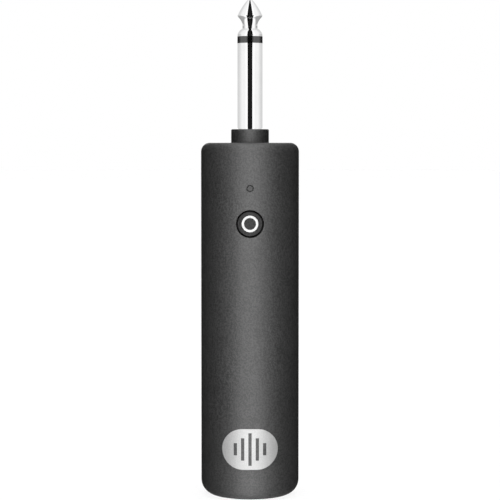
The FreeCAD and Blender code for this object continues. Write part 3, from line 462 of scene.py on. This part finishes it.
TENT_MIDDLE = Vector((0, 0, SHOULDER + 0.02))
TENT_OPENING = 0.39  # how fast its dark strip widens up and down, against its height
TENT_SHADES = [  # degrees round from the dark strip's middle, and the light there
    (0, 0.02), (9, 0.004), (20.6, 0.004), (22.4, 1.25), (36, 1.2), (44, 1.04),
    (78, 1.03), (95, 0.9), (115, 0.78), (145, 0.72), (180, 0.8),
]
NECK_LEVEL = 0.038  # the height over the tent's middle that the tip's neck mirrors
NECK_WIDENING = 0.34  # how much wider the dark strip is for the neck
NECK_SHADE = 0.6  # how much darker the rear is for the neck


def tent(name, group, radius, rear_dark):
    """A white tent that only one group mirrors, open in front from top to bottom.  rear_dark, from
    0 to 1, is how dark its rear half is."""
    rings = []
    for k in range(25):
        tilt = math.pi * (k / 24 - 0.5) * 0.999
        spread = radius * math.cos(tilt)
        height = TENT_MIDDLE.z + radius * math.sin(tilt)
        rings.append([(spread * math.sin(t), -spread * math.cos(t), height) for t in whole_turn(48)])

    def level(g):
        """Dark in a strip over the top, down the front and under the plug, white beside it and
        grey behind.  The strip is wider, and the rear darker, in what the tip's neck mirrors:
        one level over the tent's middle, and all that is well below it."""
        shift = g.add("ShaderNodeVectorMath", operation="SUBTRACT")
        g.join(g.place, shift.inputs[0])
        shift.inputs[1].default_value = TENT_MIDDLE
        x, y, z = g.split(shift.outputs["Vector"])
        off_neck = g.maths("ABSOLUTE", g.maths("SUBTRACT", z, NECK_LEVEL))
        by_neck = g.ranged(off_neck, 1, 0, 0.008, 0.016)
        below = g.ranged(z, 1, 0, -0.03, -0.02)
        neck = g.maths("MAXIMUM", by_neck, below)
        ahead = g.maths("SUBTRACT", g.maths("MULTIPLY", g.maths("ABSOLUTE", z), TENT_OPENING), y)
        angle = g.maths("ARCTAN2", g.maths("ABSOLUTE", x), ahead)
        narrowing = g.maths("SUBTRACT", 1.0, g.maths("MULTIPLY", neck, NECK_WIDENING))
        angle = g.maths("MULTIPLY", angle, narrowing)
        ramp = g.add("ShaderNodeValToRGB")
        g.join(g.ranged(angle, 0, 1, 0, math.pi), ramp.inputs["Fac"])
        spots = ramp.color_ramp.elements
        for i, (degrees, grey) in enumerate(TENT_SHADES):
            spot = spots[i] if i < 2 else spots.new(degrees / 180)  # a new ramp has two already
            spot.position = degrees / 180
            spot.color = rgba(grey)
        rear_of_neck = g.maths("MULTIPLY", neck, g.ranged(y, 0, NECK_SHADE, -0.1 * radius, 0.15 * radius))
        rear = g.ranged(angle, 0, rear_dark, 1.65, 1.8)
        shade = g.maths("SUBTRACT", 1.0, g.maths("MAXIMUM", rear_of_neck, rear))
        return g.maths("MULTIPLY", ramp.outputs["Color"], shade)

    hide_from(lit_mesh(name, rings, group, level), "diffuse")


hoop()
tent("tent", on_metal, 0.35, rear_dark=0.0)
tent("ring_tent", on_insulator, 0.36, rear_dark=0.97)
softbox("fill_left", (-1.0, 0, 0.15), (0.5, 0.8), 0.05)
softbox("fill_right", (1.0, 0, 0.15), (0.5, 0.8), 0.05)
softbox("top_light", (0, 0.1, 1.0), (0.12, 0.4), 2.4)
rear_wash = softbox("rear_wash", (0, 1.0, 0.3), (0.6, 0.6), 12.0)
hide_from(rear_wash, "glossy")  # it lights the back, and leaves no gloss on the flanks
skylight("floor_flood", 3.05, 0, shadow=False)
skylight("floor_shade", 0.6, 80, shadow=True)


def world_light():
    """White to the eye, and almost dark to everything that it could light."""
    world = bpy.data.worlds.new("studio")
    world.use_nodes = True
    bpy.context.scene.world = world
    tree = world.node_tree
    tree.nodes.clear()
    seen = tree.nodes.new("ShaderNodeLightPath").outputs["Is Camera Ray"]
    mix = tree.nodes.new("ShaderNodeMixShader")
    out = tree.nodes.new("ShaderNodeOutputWorld")
    tree.links.new(seen, mix.inputs["Fac"])
    for socket, level in ((mix.inputs[1], 0.002), (mix.inputs[2], 1.0)):
        glow = tree.nodes.new("ShaderNodeBackground")
        glow.inputs["Color"].default_value = rgba(1.0)
        glow.inputs["Strength"].default_value = level
        tree.links.new(glow.outputs["Background"], socket)
    tree.links.new(mix.outputs["Shader"], out.inputs["Surface"])


world_light()
view_settings = bpy.context.scene.view_settings
view_settings.view_transform = "Standard"
view_settings.look = "None"
